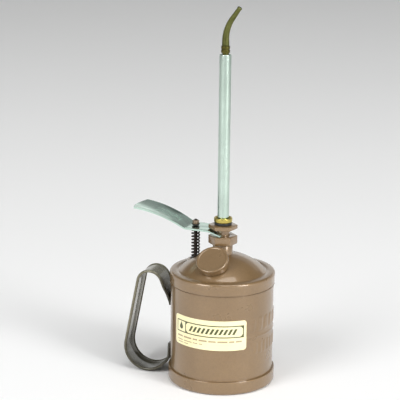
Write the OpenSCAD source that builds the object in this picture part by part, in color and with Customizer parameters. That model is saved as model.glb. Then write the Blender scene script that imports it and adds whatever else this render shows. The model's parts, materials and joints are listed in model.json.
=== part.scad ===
// Hand-pump oil can: round sheet-metal can with a domed top, side handle,
// thumb lever, plunger pump and a long rigid spout.
// The origin is the centre of the base, +Z is up. The handle and the thumb
// lever point to -X and the filler cap faces -Y.

/* [Can] */
// Outer radius of the can wall
can_r = 37.4; // [36:0.1:39]
// Thickness of the can wall
can_wall_t = 0.8; // [0.6:0.1:1]
// Height of the rolled ring round the dome
ring_z = 82.7; // [82.4:0.1:83]
// Height of the base cup's skirt
base_h = 10; // [8:0.5:14]
// Height of the top's skirt
skirt_h = 6.6; // [5:0.2:8]

/* [Label] */
// Height of the label
label_h = 22; // [16:1:26]
// Angle that the label covers
label_span = 88; // [70:1:96]
// Turn of the label's middle from -Y towards +X
label_turn = 6; // [0:1:12]

/* [Handle] */
// Width of the handle strap
strap_w = 19.5; // [16:0.5:20]
// Thickness of the handle strap
strap_t = 1.0; // [0.8:0.1:1.2]

/* [Lever] */
// Width of the lever's flat
lever_w = 19; // [18.6:0.2:20]
// Width of the lever's thumb end
pad_w = 24.4; // [22:0.2:25]
// Thickness of the lever's sheet
lever_t = 1.2; // [1:0.1:1.3]
// Radius of the thumb pad's long curve
pad_r = 94; // [85:1:105]

/* [Spout] */
// Outer radius of the spout tube
tube_r = 4.2; // [3.9:0.1:4.3]
// Height of the top end of the spout tube
tube_top = 239.6; // [200:0.2:260]
// Bend of the nozzle from upright
tip_bend = 35; // [0:1:45]

/* [Filler] */
// Outer radius of the filler cap
cap_r = 11.6; // [11:0.1:11.8]
// Height of the filler cap
cap_h = 5; // [4.6:0.1:5.2]

/* [Hidden] */

$fn = 96;
EPS = 0.01;
CUT = 1;                       // how far a cutter runs past a face

enamel = "#8a6a4c";
zinc = "#b9c4bf";
brass = "#b59a3a";
dark_steel = "#3a3430";
black_fibre = "#22201e";
leather_brown = "#6b4a2e";
paper_cream = "#e8dca8";

// Can
can_in = can_r - can_wall_t;
floor_t = 1.4;
foot_groove = 0.6;
base_r = can_r + 1.5;
base_corner = 2.5;
lip_r = can_r + 0.7;
lip_round = 2.4;
sheet_t = 0.8;
seat_z = 80;                   // top edge of the can wall
top_r = 31.5;                  // where the dome starts
top_sphere = 44.7;             // the dome is part of a ball
top_centre = 50.8;             // height of the ball's middle
top_steps = 14;
function top_z(r) = top_centre + sqrt(pow(top_sphere, 2) - r * r);
function top_under(r) = top_centre + sqrt(pow(top_sphere - sheet_t, 2) - r * r);

// Pump head, from the can upwards
stem_r = 7.2;
neck_r = 4.8;
hex_af = 18.3;
hex_turn = 20;                 // one flat faces this far from -Y towards +X
nut_z = 102.4;
nut_h = 6.1;
flange_z = 113.5;
flange_h = 2.8;
head_top = flange_z + flange_h;
nipple_r = 4.0;
nipple_h = 3.3;
stem_bottom = 86;
stem_socket = 90;
stem_flange_r = 9;
stem_flange_z = 91.2;
stem_flange_h = 1.5;
gasket_t = 0.9;
seat_r = 1.3;                  // hole that a check ball closes
ball_r = 1.9;
chamber_r = 2.4;
outlet_seat_z = 93.5;
outlet_chamber_top = 104;
outlet_bore_r = 1.5;
ball_drop = sqrt(ball_r * ball_r - seat_r * seat_r) + 0.03;

// Pump barrel below the dome, on the rod's axis
rod_x = -21.3;
rod_r = 1.3;
barrel_r = 6;
barrel_bore = 5;
barrel_bottom = 56;
barrel_top = 84.3;
barrel_head = 78.6;
packing_z = 80;
packing_h = 2.2;
gland_r = 2.7;
gland_flange_r = 3.7;
gland_flange_h = 0.9;
boss_r = 5;
boss_z = 88.2;
run_gap = 0.05;                // radial clearance of a running fit

// Tubes
pipe_r = 2.6;
pipe_in = 1.8;
discharge_z = 63;
discharge_bend = 6;
valve_z = 50;
valve_seat_z = 55.5;
valve_plug_top = 60;
valve_socket = 53;
intake_bottom = 8;
strainer_z = 4;
strainer_r = 4;
strainer_h = 5;
strainer_holes = 8;

// Lever: the fulcrum is the bend line under the upper hex flange
pivot_x = -8.5;
bend_out = 1.9;                // outer radius of the bend that the lever rocks on
lever_top = 113.1;
fork_slope = 17;
fork_end = 1.2;
fork_slot_r = 5.6;
pad_slope = 26.8;
heel_x = -25;                  // where the flat turns up to the pad
heel_r = 5;
ramp = 3.4;                      // straight length between heel and pad
pad_end_slope = 2.7;
pad_bow = 3;                   // how far the middle of the thumb end stands out
slot_half_w = 1.6;
slot_half_l = 2.5;

// Plunger
collar_z = 113.2;
collar_h = 1.4;
collar_w = 2.9;
dome_r = 4.5;
rod_nut_af = 4.3;
rod_nut_h = 2.6;
rod_top = 117.9;
rod_bottom = 73.6;
piston_top = 78.2;

// Springs
spring_wire = 1.1;
spring_r = 2.7;                // middle radius of the coil
spring_turns = 9.5;

// Filler, along its own tilted axis
filler_r = 18.95;              // distance of its seat from the can's axis
filler_z = 92.05;
filler_turn = 2.5;             // from -Y towards +X
filler_tilt = 36;
neck_out = 8.6;
neck_in = 7.8;
neck_h = 3.6;
thread_crest = 9.2;
thread_pitch = 1.2;
thread_rings = 3;
seat_ring_r = 10.6;
seat_ring_top = 0.2;
cap_gap = 0.3;
cap_in = 9.4;
cap_top_t = 1.1;

// Spout
washer_h = 2.1;
washer_r = 6.3;
spout_collar_h = 3.3;
spout_collar_r = 6.6;
tube_in = 3.4;
ferrule_z = 240.5;
ferrule_h = 4.9;
ferrule_r = 3.15;
tip_r0 = 2.65;
tip_r1 = 1.5;
tip_bore = 0.8;
tip_straight = 4;
tip_bend_r = 26;
tip_end = 10;

// Ring of revolution between two radii
module ring(r_out, r_in, h) {
    difference() {
        cylinder(r = r_out, h = h);
        translate([0, 0, -CUT]) cylinder(r = r_in, h = h + 2 * CUT);
    }
}

// Hexagonal prism with flats this far apart; one flat faces `turn`
module hex_prism(af, h, turn = 0) {
    rotate([0, 0, turn]) cylinder(r = af / 2 / cos(30), h = h, $fn = 6);
}

// Quarter round in a lathe profile: points from angle a0 to a1
function arc(cx, cy, r, a0, a1, n = 8) =
    [for (i = [0:n]) let (a = a0 + (a1 - a0) * i / n) [cx + r * cos(a), cy + r * sin(a)]];

// Round bar swept along a chain of rings. Each heading holds the two unit
// vectors of its ring; their cross product points back along the path.
module sweep(centres, headings, radii, sides) {
    n = len(centres);
    points = [for (i = [0:n - 1]) for (j = [0:sides - 1])
        let (a = 360 * j / sides, r = radii[i])
        centres[i] + r * cos(a) * headings[i][0] + r * sin(a) * headings[i][1]];
    walls = [for (i = [0:n - 2]) for (j = [0:sides - 1])
        let (k = (j + 1) % sides)
        [i * sides + j, i * sides + k, (i + 1) * sides + k, (i + 1) * sides + j]];
    polyhedron(
        points = points,
        faces = concat(
            [[for (j = [sides - 1:-1:0]) j]],
            walls,
            [[for (j = [0:sides - 1]) (n - 1) * sides + j]]),
        convexity = 6);
}

// Coil spring standing on z = 0
module coil(r, wire, turns, h, steps = 20, sides = 8) {
    n = round(turns * steps);
    rise = (h - wire) / n;
    sweep(
        [for (i = [0:n]) let (a = 360 * i / steps)
            [r * cos(a), r * sin(a), wire / 2 + rise * i]],
        [for (i = [0:n]) let (a = 360 * i / steps) [[cos(a), sin(a), 0], [0, 0, 1]]],
        [for (i = [0:n]) wire / 2],
        sides);
}

// ---- can ----

module base_cup() {
    color(enamel) rotate_extrude() polygon(concat(
        [[0, 0], [30, 0], [30.6, foot_groove], [32.8, foot_groove], [33.4, 0],
         [base_r - base_corner, 0]],
        arc(base_r - base_corner, base_corner, base_corner, -90, 0),
        arc(base_r - 0.7, base_h - 0.7, 0.7, 0, 90, 4),
        [[can_r, base_h], [can_r, floor_t], [0, floor_t]]));
}

module can_wall() {
    color(enamel) translate([0, 0, floor_t]) ring(can_r, can_in, seat_z - floor_t);
}

// Everything under the dome's outer face
module under_dome() {
    rotate_extrude() polygon(concat([[0, 0], [top_r, 0]],
        [for (i = [0:top_steps]) let (r = top_r * (1 - i / top_steps)) [r, top_z(r)]]));
}

module top_dome() {
    span = top_r - stem_r;
    color(enamel) difference() {
        union() {
            rotate_extrude() polygon(concat(
                [[can_r, seat_z - skirt_h], [lip_r, seat_z - skirt_h]],
                arc(lip_r - lip_round, ring_z - lip_round, lip_round, 0, 90),
                [[top_r + 1.6, ring_z]],
                [for (i = [0:top_steps]) let (r = top_r - span * i / top_steps) [r, top_z(r)]],
                [for (i = [top_steps:-1:0]) let (r = top_r - span * i / top_steps) [r, top_under(r)]],
                [[top_r + 1.6, ring_z - sheet_t], [can_in - 1, ring_z - sheet_t],
                 [can_in, seat_z], [can_r, seat_z]]));
            translate([rod_x, 0, barrel_top]) cylinder(r = boss_r + 0.4, h = boss_z - barrel_top);
            intersection() {
                translate([0, 0, -0.35]) under_dome();
                translate([rod_x, 0, barrel_top + 0.5]) cylinder(r = boss_r + sheet_t, h = 12);
            }
        }
        translate([rod_x, 0, boss_z]) cylinder(r = boss_r, h = 9);
        translate([rod_x, 0, barrel_top - CUT]) cylinder(r = gland_r, h = 9);
        filler_axis() translate([0, 0, -9]) cylinder(r = neck_out, h = 18);
    }
}

module label() {
    r = can_r;
    color(paper_cream) rotate([0, 0, -90 + label_turn - label_span / 2])
        translate([0, 0, 33.7]) rotate_extrude(angle = label_span)
            translate([r, 0]) square([0.25, label_h]);
}

// ---- handle: a strap with rolled edges, bent in an upright plane ----
// A heading is the angle from +Z towards -X; the strap always turns the
// same way. Each leg is [straight length, bend radius, bend angle].

handle_turn = 5;               // the handle's plane, from -X towards -Y
handle_start = [-38.7, 58.2];
handle_heading = 20.5;
handle_legs = [[14.6, 9.5, 148.5], [49.6, 16.8, 148], [6.4, 0, 0]];
bead_r = 1.1;
bend_steps = 24;
saddle_x = -39;                // outer face of the welded saddles

function heading_at(i) = i == 0 ? handle_heading : heading_at(i - 1) + handle_legs[i - 1][2];
function along(h) = [-sin(h), cos(h)];
function inward(h) = [-cos(h), -sin(h)];
function leg_start(i) = i == 0 ? handle_start :
    let (leg = handle_legs[i - 1], a = heading_at(i - 1), b = heading_at(i))
    leg_start(i - 1) + leg[0] * along(a) + leg[1] * (inward(a) - inward(b));

// Middle line of the strap as [[x, z], heading]
strap_line = concat(
    [[handle_start, handle_heading]],
    [for (i = [0:len(handle_legs) - 1])
        let (leg = handle_legs[i], h = heading_at(i), p = leg_start(i) + leg[0] * along(h),
             steps = leg[2] > 0 ? bend_steps : 0)
        for (j = [0:steps]) let (g = h + (steps > 0 ? leg[2] * j / steps : 0))
        [p + leg[1] * (inward(h) - inward(g)), g]]);

// Strap of this thickness and width, its middle at this y
module strap_sheet(thick, width, y) {
    last = len(strap_line) - 1;
    translate([0, y + width / 2, 0]) rotate([90, 0, 0]) linear_extrude(width)
        polygon(concat(
            [for (p = strap_line) p[0] - thick / 2 * inward(p[1])],
            [for (i = [last:-1:0]) strap_line[i][0] + thick / 2 * inward(strap_line[i][1])]));
}

// Block between the strap's end and the round can, welded to both
module saddle(z0, z1) {
    half = strap_w / 2 - 2 * bead_r;
    difference() {
        translate([saddle_x, -half, z0]) cube([5, 2 * half, z1 - z0]);
        cylinder(r = can_r, h = 100);
    }
}

module handle_strap() {
    color(enamel) rotate([0, 0, handle_turn]) union() {
        strap_sheet(strap_t, strap_w - 2 * bead_r, 0);
        for (side = [-1, 1])
            strap_sheet(2 * bead_r, 2 * bead_r, side * (strap_w / 2 - bead_r));
        saddle(53, 60);
        saddle(11, 27);
    }
}

// ---- filler ----

module filler_axis() {
    rotate([0, 0, filler_turn]) translate([0, -filler_r, filler_z])
        rotate([filler_tilt, 0, 0]) children();
}

module filler_neck() {
    color(enamel) union() {
        difference() {
            filler_axis() translate([0, 0, -7]) ring(neck_out, neck_in, neck_h + 7);
            translate([0, 0, -sheet_t]) under_dome();
            cylinder(r = stem_r + 0.2, h = 120);
        }
        filler_axis() for (i = [0:thread_rings - 1])
            translate([0, 0, 0.6 + i * thread_pitch])
                rotate_extrude() polygon([[neck_out - 0.3, -0.3], [neck_out, -0.3],
                    [thread_crest, 0.1], [thread_crest, 0.2], [neck_out, 0.6],
                    [neck_out - 0.3, 0.6]]);
        difference() {
            filler_axis() translate([0, 0, -9]) ring(seat_ring_r, neck_out - 0.3, 9 + seat_ring_top);
            translate([0, 0, 0.02]) under_dome();
            cylinder(r = stem_r + 0.4, h = 120);
        }
    }
}

module cap_gasket() {
    color(black_fibre) filler_axis() translate([0, 0, neck_h + 0.02]) ring(neck_out, neck_in - 1.4, 0.45);
}

module filler_cap() {
    bottom = seat_ring_top + cap_gap;
    top = bottom + cap_h;
    rim = 1.0;
    color(enamel) filler_axis() rotate_extrude() polygon(concat(
        [[0, neck_h + 0.5], [cap_in, neck_h + 0.5], [cap_in, bottom], [cap_r - 0.2, bottom]],
        arc(cap_r - rim, top - rim, rim, 0, 90, 6),
        [[cap_r - 1.6, top], [cap_r - 2.0, top - 0.25], [0, top - 0.25]]));
}

// ---- pump head ----

module pump_stem() {
    color(enamel) rotate_extrude() polygon(
        [[pipe_r, stem_bottom], [neck_r, stem_bottom], [neck_r, stem_flange_z],
         [stem_flange_r, stem_flange_z], [stem_flange_r, stem_flange_z + stem_flange_h],
         [stem_r, stem_flange_z + stem_flange_h], [stem_r, nut_z], [neck_r, nut_z],
         [neck_r, head_top], [nipple_r, head_top], [nipple_r, head_top + nipple_h],
         [outlet_bore_r, head_top + nipple_h], [outlet_bore_r, outlet_chamber_top],
         [chamber_r, outlet_chamber_top], [chamber_r, outlet_seat_z],
         [seat_r, outlet_seat_z], [seat_r, stem_socket], [pipe_r, stem_socket]]);
}

module stem_gasket() {
    color(black_fibre) translate([0, 0, stem_flange_z + stem_flange_h])
        ring(stem_flange_r, stem_r, gasket_t);
}

module lower_hex_nut() {
    color(enamel) translate([0, 0, nut_z]) difference() {
        hex_prism(hex_af, nut_h, hex_turn);
        translate([0, 0, -CUT]) cylinder(r = neck_r, h = nut_h + 2 * CUT);
    }
}

module upper_hex_flange() {
    color(enamel) translate([0, 0, flange_z]) difference() {
        hex_prism(hex_af, flange_h, hex_turn);
        translate([0, 0, -CUT]) cylinder(r = neck_r, h = flange_h + 2 * CUT);
    }
}

// ---- pump inside the can ----

module pump_cylinder() {
    color(zinc) translate([rod_x, 0, 0]) difference() {
        translate([0, 0, barrel_bottom]) cylinder(r = barrel_r, h = barrel_top - barrel_bottom);
        translate([0, 0, barrel_bottom - CUT]) cylinder(r = barrel_bore, h = barrel_head - barrel_bottom + CUT);
        cylinder(r = rod_r + 0.2, h = 100);
        translate([0, 0, packing_z]) cylinder(r = gland_r, h = 10);
        translate([0, 0, discharge_z]) rotate([0, 90, 0]) cylinder(r = pipe_r, h = barrel_r + CUT);
    }
}

module discharge_tube() {
    start = rod_x + barrel_bore + 0.4;
    color(zinc) union() {
        translate([start, 0, discharge_z]) rotate([0, 90, 0])
            ring(pipe_r, pipe_in, -discharge_bend - start);
        translate([-discharge_bend, 0, discharge_z + discharge_bend]) rotate([90, 0, 0])
            rotate_extrude(angle = -90) translate([discharge_bend, 0]) difference() {
                circle(r = pipe_r);
                circle(r = pipe_in);
            }
        translate([0, 0, discharge_z + discharge_bend])
            ring(pipe_r, pipe_in, stem_socket - discharge_z - discharge_bend);
    }
}

module foot_valve_body() {
    color(brass) translate([rod_x, 0, 0]) rotate_extrude() polygon(
        [[pipe_r, valve_z], [barrel_r, valve_z], [barrel_r, barrel_bottom],
         [barrel_bore, barrel_bottom], [barrel_bore, valve_plug_top - 0.8],
         [chamber_r, valve_plug_top - 0.8], [chamber_r, valve_seat_z],
         [seat_r, valve_seat_z], [seat_r, valve_socket], [pipe_r, valve_socket]]);
}

module inlet_ball() {
    color(zinc) translate([rod_x, 0, valve_seat_z + ball_drop]) sphere(r = ball_r);
}

module outlet_ball() {
    color(zinc) translate([0, 0, outlet_seat_z + ball_drop]) sphere(r = ball_r);
}

module ball_retainer() {
    color(brass) translate([rod_x, 0, valve_plug_top - 0.8]) difference() {
        cylinder(r = barrel_bore, h = 0.8);
        for (i = [0:2]) rotate([0, 0, 120 * i])
            translate([3, 0, -CUT]) cylinder(r = 1.0, h = 0.8 + 2 * CUT);
    }
}

module intake_tube() {
    color(zinc) translate([rod_x, 0, intake_bottom]) ring(pipe_r, pipe_in, valve_socket - intake_bottom);
}

module inlet_strainer() {
    color(brass) translate([rod_x, 0, strainer_z]) difference() {
        cylinder(r = strainer_r, h = strainer_h);
        translate([0, 0, 0.8]) cylinder(r = strainer_r - 0.8, h = intake_bottom - strainer_z - 0.8);
        translate([0, 0, 0.8]) cylinder(r = pipe_r, h = strainer_h);
        for (i = [0:strainer_holes - 1]) rotate([0, 0, 360 * i / strainer_holes])
            translate([0, 0, 2.2]) rotate([0, 90, 0]) cylinder(r = 0.6, h = strainer_r + CUT);
    }
}

module rod_gland() {
    color(dark_steel) translate([rod_x, 0, packing_z + packing_h]) difference() {
        union() {
            cylinder(r = gland_r, h = boss_z - packing_z - packing_h);
            translate([0, 0, boss_z - packing_z - packing_h]) cylinder(r = gland_flange_r, h = gland_flange_h);
        }
        translate([0, 0, -CUT]) cylinder(r = rod_r + run_gap, h = 12);
    }
}

module rod_packing() {
    color(black_fibre) translate([rod_x, 0, packing_z]) ring(gland_r, rod_r + run_gap, packing_h);
}

module outlet_spring() {
    z = outlet_seat_z + ball_drop + ball_r + 0.1;
    color(dark_steel) translate([0, 0, z]) coil(1.6, 0.4, 5, outlet_chamber_top - z - 0.1, 16, 6);
}

module return_spring() {
    z = boss_z + gland_flange_h + 0.1;
    color(dark_steel) translate([rod_x, 0, z])
        coil(spring_r, spring_wire, spring_turns, lever_top - lever_t - 0.1 - z);
}

// ---- plunger ----

module plunger_rod() {
    color(dark_steel) translate([rod_x, 0, rod_bottom]) union() {
        cylinder(r = rod_r, h = rod_top - rod_bottom - 0.5);
        translate([0, 0, rod_top - rod_bottom - 0.5]) cylinder(r1 = rod_r, r2 = rod_r - 0.4, h = 0.5);
    }
}

// Washer with a domed underside, so the lever can rock below it
module rod_collar() {
    color(black_fibre) translate([rod_x, 0, 0]) difference() {
        intersection() {
            translate([0, 0, collar_z - 0.5]) cylinder(r = collar_w, h = collar_h + 0.5);
            translate([0, 0, collar_z - 0.15 + dome_r]) sphere(r = dome_r);
        }
        translate([0, 0, collar_z - CUT]) cylinder(r = rod_r, h = collar_h + 2 * CUT);
    }
}

module rod_nut() {
    color(enamel) translate([rod_x, 0, collar_z + collar_h]) difference() {
        hex_prism(rod_nut_af, rod_nut_h, hex_turn);
        translate([0, 0, -CUT]) cylinder(r = rod_r, h = rod_nut_h + 2 * CUT);
    }
}

module piston_washer() {
    color(brass) translate([rod_x, 0, piston_top - 1]) ring(4.4, rod_r, 1);
}

module piston_cup() {
    color(leather_brown) translate([rod_x, 0, 0]) rotate_extrude() polygon(
        [[rod_r, piston_top - 2], [3.9, piston_top - 2], [3.9, piston_top - 4.4],
         [barrel_bore - run_gap, piston_top - 4.4], [barrel_bore - run_gap, piston_top - 1],
         [rod_r, piston_top - 1]]);
}

module piston_nut() {
    h = 2;
    color(brass) translate([rod_x, 0, piston_top - 2 - h]) difference() {
        hex_prism(4.8, h);
        translate([0, 0, -CUT]) cylinder(r = rod_r, h = h + 2 * CUT);
    }
}

// ---- lever ----
// Top line of the lever from the fork's tip to the thumb end, as
// [x, z, slope]; the slope is how fast it rises towards -X.

heel_steps = 4;
pad_steps = 12;
heel_end = [heel_x - heel_r * sin(pad_slope), lever_top + heel_r * (1 - cos(pad_slope))];
pad_start = heel_end + ramp * [-cos(pad_slope), sin(pad_slope)];
pivot_z = lever_top - bend_out;
bend_end = [pivot_x + bend_out * sin(fork_slope), pivot_z + bend_out * cos(fork_slope)];
lever_line = concat(
    [[fork_end, bend_end[1] - (fork_end - bend_end[0]) * tan(fork_slope), -fork_slope],
     [bend_end[0], bend_end[1], -fork_slope], [pivot_x, lever_top, 0]],
    [for (i = [0:heel_steps]) let (a = pad_slope * i / heel_steps)
        [heel_x - heel_r * sin(a), lever_top + heel_r * (1 - cos(a)), a]],
    [for (i = [0:pad_steps]) let (a = pad_slope + (pad_end_slope - pad_slope) * i / pad_steps)
        [pad_start[0] - pad_r * (sin(pad_slope) - sin(a)),
         pad_start[1] + pad_r * (cos(a) - cos(pad_slope)), a]]);
lever_end = lever_line[len(lever_line) - 1][0];

// Outline of the lever seen from above: it widens towards the thumb end,
// which is bowed outwards between two sharp corners
module lever_outline() {
    half = lever_w / 2;
    end_half = pad_w / 2 + (pad_w - lever_w) / 2 * pad_bow / (heel_x - lever_end);
    end_r = (pad_w * pad_w / 4 + pad_bow * pad_bow) / (2 * pad_bow);
    difference() {
        union() {
            polygon([[fork_end - 1.6, -half], [fork_end - 1.6, half], [heel_x, half],
                     [lever_end, end_half], [lever_end, -end_half], [heel_x, -half]]);
            for (side = [-1, 1])
                translate([fork_end - 1.95, side * (half - 1.95)]) circle(r = 1.95);
        }
        difference() {
            translate([lever_end - 1, -pad_w]) square([pad_bow + 2, 2 * pad_w]);
            translate([lever_end + end_r, 0]) circle(r = end_r);
        }
    }
}

module lever() {
    top = [for (p = lever_line) [p[0], p[1]]];
    under = [for (i = [len(lever_line) - 1:-1:0]) let (p = lever_line[i])
        [p[0] - lever_t * sin(p[2]), p[1] - lever_t * cos(p[2])]];
    color(zinc) difference() {
        intersection() {
            translate([0, pad_w, 0]) rotate([90, 0, 0]) linear_extrude(2 * pad_w) union() {
                polygon(concat(top, under));
                translate([pivot_x, pivot_z]) intersection() {
                    circle(r = bend_out);
                    polygon([[0, 0.9], [0, 3], [3 * tan(fork_slope), 3], [0.9 * tan(fork_slope), 0.9]]);
                }
            }
            translate([0, 0, 90]) linear_extrude(50) lever_outline();
        }
        translate([0, 0, 90]) cylinder(r = fork_slot_r, h = 50);
        translate([0, -fork_slot_r, 90]) cube([10, 2 * fork_slot_r, 50]);
        translate([rod_x, 0, 90]) linear_extrude(40) {
            square([2 * (slot_half_l - slot_half_w), 2 * slot_half_w], center = true);
            for (end = [-1, 1]) translate([end * (slot_half_l - slot_half_w), 0]) circle(r = slot_half_w);
        }
    }
}

// ---- spout ----

module spout_washer() {
    color(black_fibre) translate([0, 0, head_top]) ring(washer_r, nipple_r, washer_h);
}

module spout_collar() {
    z0 = head_top + washer_h;
    z1 = z0 + spout_collar_h;
    step = head_top + nipple_h + 0.1;
    color(brass) rotate_extrude() polygon(
        [[nipple_r + run_gap, z0], [spout_collar_r - 0.5, z0], [spout_collar_r, z0 + 0.8],
         [spout_collar_r, z1 - 0.8], [spout_collar_r - 0.6, z1], [tube_r + 0.9, z1],
         [tube_r + 0.6, z1 - 0.8], [tube_r, z1 - 0.8], [tube_r, step], [nipple_r + run_gap, step]]);
}

module spout_tube() {
    bottom = head_top + nipple_h + 0.1;
    lip = 0.8;
    color(zinc) rotate_extrude() polygon(concat(
        [[tube_in, bottom], [tube_r, bottom]],
        arc(tube_r - lip, tube_top - lip, lip, 0, 90, 5),
        [[2.4, tube_top], [2.4, tube_top - 1], [tube_in, tube_top - 1]]));
}

module tip_ferrule() {
    color(brass) rotate_extrude() polygon(
        [[1.2, tube_top - 6], [2.4, tube_top - 6], [2.4, ferrule_z], [ferrule_r - 0.3, ferrule_z],
         [ferrule_r, ferrule_z + 0.4], [ferrule_r, ferrule_z + ferrule_h - 0.5],
         [ferrule_r - 0.4, ferrule_z + ferrule_h], [tip_bore, ferrule_z + ferrule_h],
         [tip_bore, ferrule_z], [1.2, ferrule_z]]);
}

// Nozzle axis: upright, then an arc, then straight; s is the length along it
tip_z = ferrule_z + ferrule_h;
tip_arc = tip_bend_r * tip_bend * PI / 180;
tip_length = tip_straight + tip_arc + tip_end;
function tip_angle(s) = min(max((s - tip_straight) / tip_bend_r * 180 / PI, 0), tip_bend);
function tip_point(s) =
    let (a = tip_angle(s), up = min(s, tip_straight), past = max(s - tip_straight - tip_arc, 0))
    [tip_bend_r * (1 - cos(a)) + past * sin(a), 0,
     tip_z + up + tip_bend_r * sin(a) + past * cos(a)];

module tip_bar(r0, r1, over) {
    steps = 22;
    stations = [for (i = [0:steps]) let (t = i / steps) -over + (tip_length + 2 * over) * t];
    sweep(
        [for (s = stations) s < 0 ? [0, 0, tip_z + s] : tip_point(s)],
        [for (s = stations) let (a = tip_angle(s)) [[cos(a), 0, -sin(a)], [0, -1, 0]]],
        [for (i = [0:steps]) r0 + (r1 - r0) * i / steps],
        24);
}

module spout_tip() {
    color(brass) difference() {
        tip_bar(tip_r0, tip_r1, 0);
        tip_bar(tip_bore, tip_bore, 0.5);
    }
}

base_cup();
can_wall();
top_dome();
label();
handle_strap();
filler_neck();
pump_stem();
stem_gasket();
lower_hex_nut();
upper_hex_flange();
pump_cylinder();
discharge_tube();
foot_valve_body();
inlet_ball();
ball_retainer();
intake_tube();
inlet_strainer();
rod_gland();
rod_packing();
outlet_ball();
outlet_spring();
return_spring();
plunger_rod();
rod_collar();
rod_nut();
piston_washer();
piston_cup();
piston_nut();
lever();
cap_gasket();
filler_cap();
spout_washer();
spout_collar();
spout_tube();
tip_ferrule();
spout_tip();
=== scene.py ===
"""Looks of the hand-pump oil can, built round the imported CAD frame.

Lengths in the shape functions are millimetres and become metres in
new_mesh(). The can stands on z = 0 with its axis on Z; the handle and the
lever point to -X and the filler cap faces -Y.
"""

import json
from math import acos, atan2, ceil, cos, hypot, pi, radians, sin, sqrt, tan

import bmesh
import bpy
from mathutils import Matrix, Vector


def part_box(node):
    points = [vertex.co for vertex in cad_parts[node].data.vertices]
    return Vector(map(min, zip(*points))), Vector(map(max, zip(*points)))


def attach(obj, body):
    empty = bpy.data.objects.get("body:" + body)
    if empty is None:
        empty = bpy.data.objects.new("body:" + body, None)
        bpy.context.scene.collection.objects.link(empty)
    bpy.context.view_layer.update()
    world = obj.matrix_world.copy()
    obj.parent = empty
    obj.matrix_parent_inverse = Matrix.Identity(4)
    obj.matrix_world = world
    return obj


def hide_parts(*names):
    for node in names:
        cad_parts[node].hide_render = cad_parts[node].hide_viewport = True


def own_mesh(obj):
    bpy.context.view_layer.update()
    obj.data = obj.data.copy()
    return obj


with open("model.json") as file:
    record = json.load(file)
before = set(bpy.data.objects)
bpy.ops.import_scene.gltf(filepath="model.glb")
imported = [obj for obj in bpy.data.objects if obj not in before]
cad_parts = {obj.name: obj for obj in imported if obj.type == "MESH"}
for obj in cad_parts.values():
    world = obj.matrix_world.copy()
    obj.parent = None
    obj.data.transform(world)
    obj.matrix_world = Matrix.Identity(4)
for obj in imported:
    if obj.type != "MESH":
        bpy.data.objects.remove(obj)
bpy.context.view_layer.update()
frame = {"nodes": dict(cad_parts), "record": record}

MM = 0.001
ROUND_STEPS = 128
SMOOTH_ANGLE = radians(38)

# ---------------------------------------------------------------- measures


def low(node):
    """Lowest corner of a CAD node, in millimetres."""
    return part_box(node)[0] / MM


def high(node):
    """Highest corner of a CAD node, in millimetres."""
    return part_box(node)[1] / MM


def middle(node):
    return (low(node) + high(node)) / 2


def width(node):
    return high(node).y - low(node).y


CAN_R = high("can_wall").x
BASE_R = high("base_cup").x
BASE_H = high("base_cup").z
LIP_R = high("top_dome").x
SKIRT_Z = low("top_dome").z
STEM_R = 7.2                       # pump column below the nuts
NECK_R = 4.8                       # pump column inside the nuts
NIPPLE_R = 4.0                     # its upper end, inside the spout's collar
ROD_R = 1.3
SHEET = 0.8                        # sheet metal's thickness
DOME_R = 31.5
RING_Z = SKIRT_Z + 9.3
BALL_R = 44.7                      # the dome is part of this ball
BALL_Z = 50.8                      # height of the ball's middle
ROD_X = middle("plunger_rod").x
HEX_FLATS = 18.3
HEX_TURN = radians(20)
FILLER_R = 18.95                   # foot of the filler's axis, from Z
FILLER_Z = 92.05
FILLER_TURN = radians(2.5)
FILLER_TILT = radians(36)
LEVER_T = 1.2
LEVER_TOP = high("return_spring").z + 0.1 + LEVER_T
PIVOT_X = -8.5
LEVER_W = 19.0                     # width of the lever's flat
PAD_W = 24.4                       # width of its thumb end


def dome_z(r, depth=0.0):
    """Height of the domed top at radius r, depth millimetres under its face."""
    return BALL_Z + sqrt((BALL_R - depth) ** 2 - r * r)


# ---------------------------------------------------------------- mesh tools


def new_mesh(name, points, faces, smooth=True):
    """Object from points in millimetres and faces."""
    mesh = bpy.data.meshes.new(name)
    mesh.from_pydata([Vector(p) * MM for p in points], [], faces)
    mesh.validate()
    obj = bpy.data.objects.new(name, mesh)
    bpy.context.scene.collection.objects.link(obj)
    outward(obj)
    if smooth:
        soften(obj)
    return obj


def outward(obj):
    bm = bmesh.new()
    bm.from_mesh(obj.data)
    bmesh.ops.remove_doubles(bm, verts=bm.verts, dist=1e-7)
    bmesh.ops.recalc_face_normals(bm, faces=bm.faces)
    bm.to_mesh(obj.data)
    bm.free()


def soften(obj):
    """Smooth shading, with sharp edges kept where faces meet steeply."""
    obj.data.shade_smooth()
    obj.data.set_sharp_from_angle(angle=SMOOTH_ANGLE)


def apply_modifiers(obj):
    bpy.context.view_layer.update()
    evaluated = obj.evaluated_get(bpy.context.evaluated_depsgraph_get())
    mesh = bpy.data.meshes.new_from_object(evaluated)
    obj.modifiers.clear()
    obj.data = mesh


def bevel(obj, size, segments=3, angle=30):
    """Rounds the sharp edges of obj by size millimetres."""
    mod = obj.modifiers.new("bevel", "BEVEL")
    mod.width = size * MM
    mod.segments = segments
    mod.limit_method = "ANGLE"
    mod.angle_limit = radians(angle)
    mod.harden_normals = False
    apply_modifiers(obj)
    soften(obj)


def combine(obj, operation, other):
    """Boolean of two meshes; other is used up."""
    mod = obj.modifiers.new("combine", "BOOLEAN")
    mod.operation = operation
    mod.solver = "EXACT"
    mod.object = other
    apply_modifiers(obj)
    bpy.data.objects.remove(other)


def cut(obj, *cutters):
    for cutter in cutters:
        combine(obj, "DIFFERENCE", cutter)


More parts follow.
